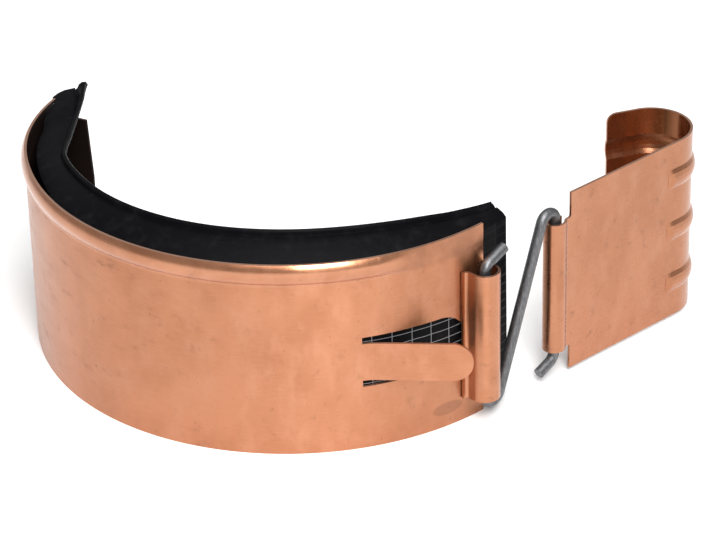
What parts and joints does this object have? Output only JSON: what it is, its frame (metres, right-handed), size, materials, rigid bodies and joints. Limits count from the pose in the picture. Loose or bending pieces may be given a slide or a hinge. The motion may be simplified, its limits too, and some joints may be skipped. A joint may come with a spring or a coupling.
{
  "type": "gutter union",
  "caption": "Half-round gutter union: copper band lined with a lipped rubber seal, closed by a ribbed hook clip on a bent wire link, with a locking tongue.",
  "frame": {"origin": "on the half-round gutter's axis, in the plane of the band's lower side edge, on which the union stands", "axes": "+Z along the gutter's axis and up as it stands, -Y towards the bottom of the gutter, +X towards the gutter's front bead"},
  "size_m": [0.1571, 0.1108, 0.0552],
  "materials": {
    "copper": "bright rolled copper sheet, lightly brushed along its length",
    "seal_rubber": "matte extruded rubber with a woven backing",
    "steel_wire": "drawn steel wire, dull"
  },
  "bodies": {
    "band_body": {"band": "copper", "rubber_seal": "seal_rubber"},
    "link_body": {"wire_link": "steel_wire"},
    "clip_body": {"lock_clip": "copper"}
  },
  "joints": [
    {"name": "link_hinge", "type": "hinge", "parent": "band_body", "child": "link_body", "pos_m": [0.06117, -0.03117, 0.02375], "axis": [0, 0, 1], "range_deg": [-135, 5]},
    {"name": "clip_hinge", "type": "hinge", "parent": "link_body", "child": "clip_body", "pos_m": [0.07052, -0.00766, 0.02575], "axis": [0, 0, 1], "range_deg": [-60, 120]}
  ]
}
